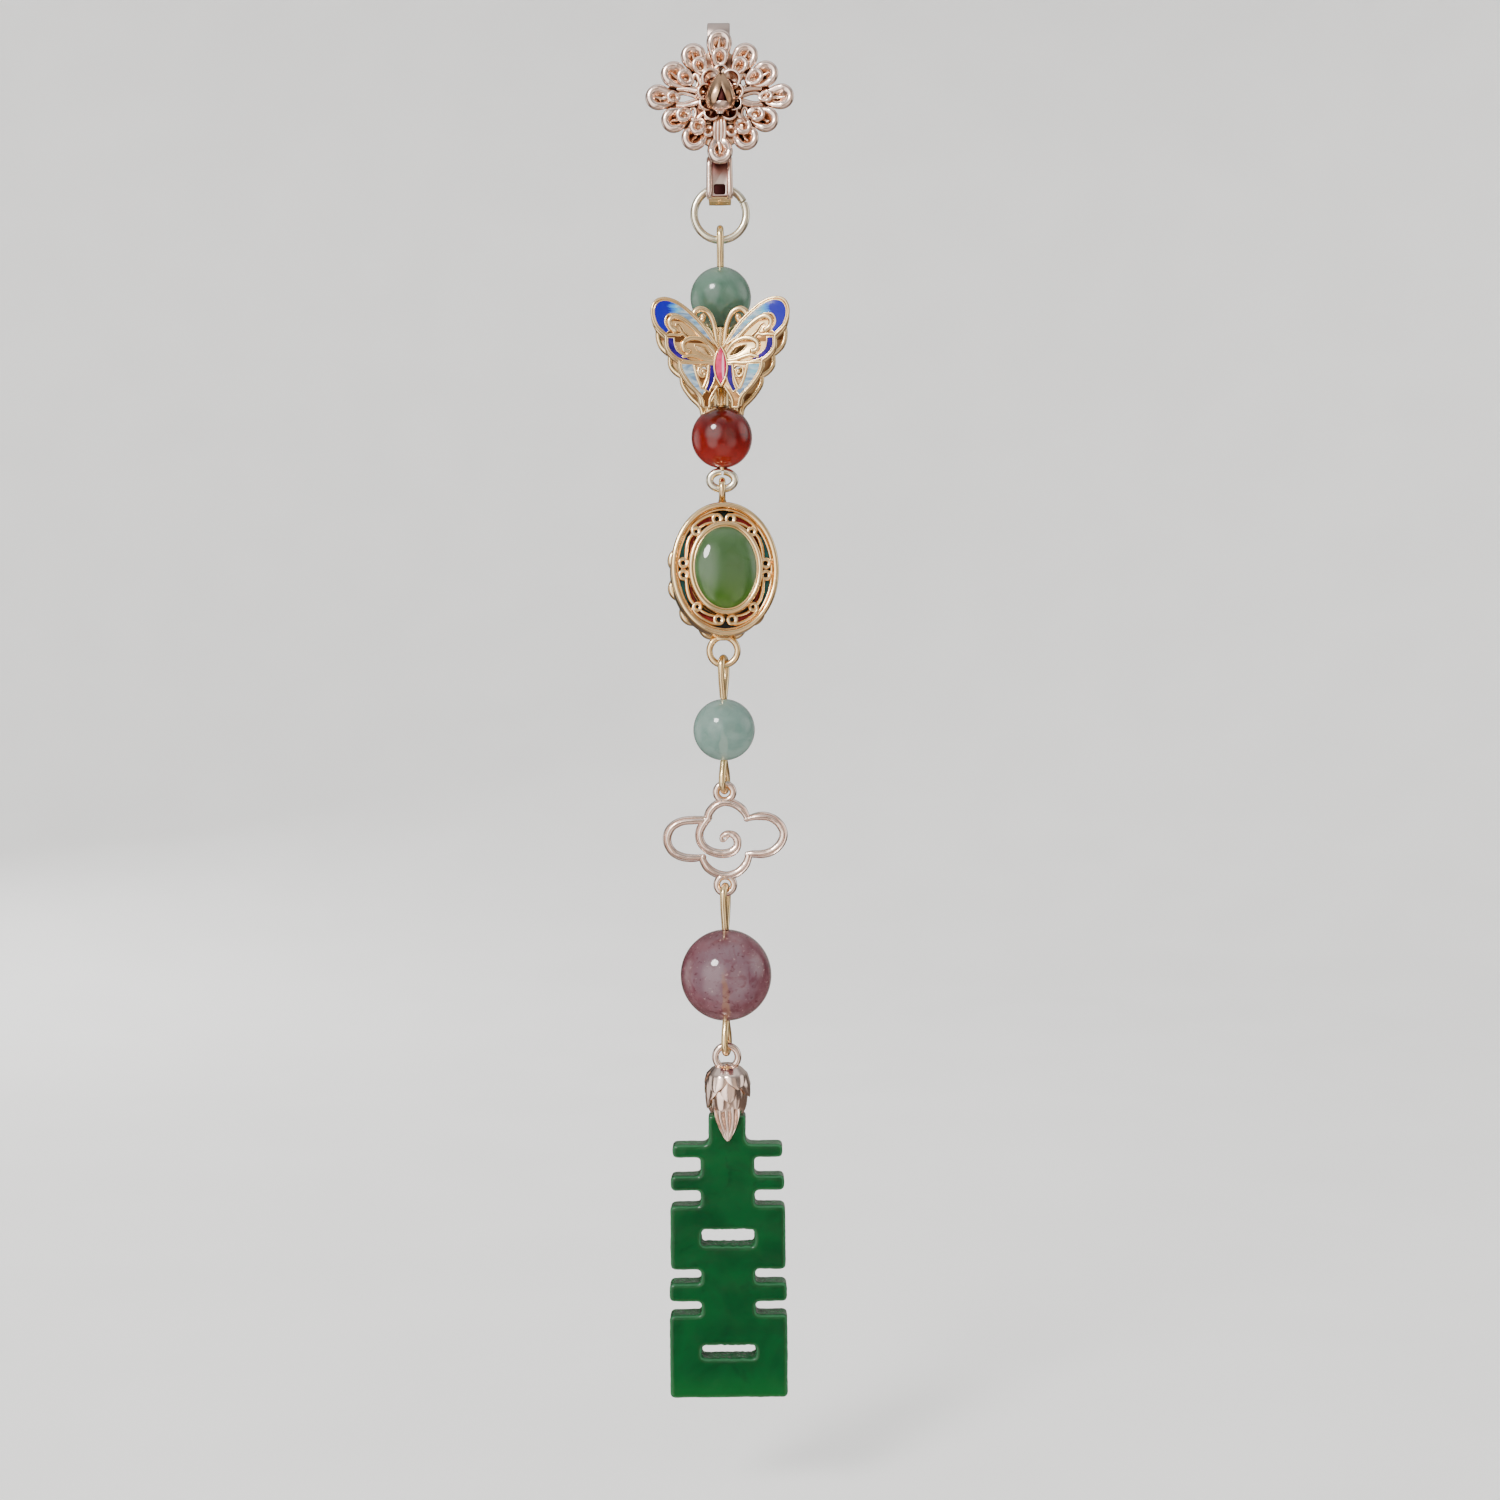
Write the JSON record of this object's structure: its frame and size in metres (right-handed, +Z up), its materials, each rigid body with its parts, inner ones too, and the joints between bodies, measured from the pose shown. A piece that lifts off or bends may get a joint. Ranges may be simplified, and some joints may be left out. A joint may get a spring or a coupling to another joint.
{
  "type": "lapel pendant",
  "caption": "Hanging lapel pendant: a pierced flower on a strip hook, then stone beads, an enamelled butterfly and oval, a wire cloud, a leaf cap and a green stone tablet on one string.",
  "frame": {"origin": "inside crown of the hook's bend, where it sits on the lapel's edge", "axes": "+Z up along the hanging string, front faces -Y, +X to the viewer's right"},
  "size_m": [0.019, 0.0135, 0.1779],
  "materials": {
    "rose_gold": "polished",
    "yellow_gold": "polished",
    "pale_gold": "polished",
    "green_stone": "polished",
    "red_stone": "polished",
    "aqua_stone": "polished",
    "pink_quartz": "polished",
    "green_cabochon": "polished",
    "jade": "polished",
    "blue_enamel": "gloss",
    "pale_enamel": "gloss",
    "pink_enamel": "gloss",
    "red_enamel": "gloss",
    "green_enamel": "gloss"
  },
  "bodies": {
    "clasp": {"clasp": "rose_gold"},
    "string": {"jump_ring": "pale_gold", "upper_pin": "pale_gold", "green_bead": "green_stone", "butterfly": "yellow_gold", "butterfly_blue_front": "blue_enamel", "butterfly_pale_front": "pale_enamel", "butterfly_pink_front": "pink_enamel", "butterfly_blue_back": "blue_enamel", "butterfly_pale_back": "pale_enamel", "butterfly_pink_back": "pink_enamel", "red_bead": "red_stone", "oval_setting": "yellow_gold", "oval_red_enamel": "red_enamel", "oval_green_enamel": "green_enamel", "oval_cabochon": "green_cabochon", "middle_pin": "pale_gold", "aqua_bead": "aqua_stone", "cloud_charm": "rose_gold", "lower_pin": "pale_gold", "quartz_bead": "pink_quartz"},
    "tablet": {"leaf_bail": "rose_gold", "jade_tablet": "jade"}
  },
  "joints": [
    {"name": "pendant_swing", "type": "hinge", "parent": "clasp", "child": "string", "pos_m": [0, 0, -0.0205], "axis": [1, 0, 0], "range_deg": [-60, 45]},
    {"name": "tablet_swing", "type": "hinge", "parent": "string", "child": "tablet", "pos_m": [0, 0, -0.1328], "axis": [0, 1, 0], "range_deg": [-45, 45]}
  ]
}
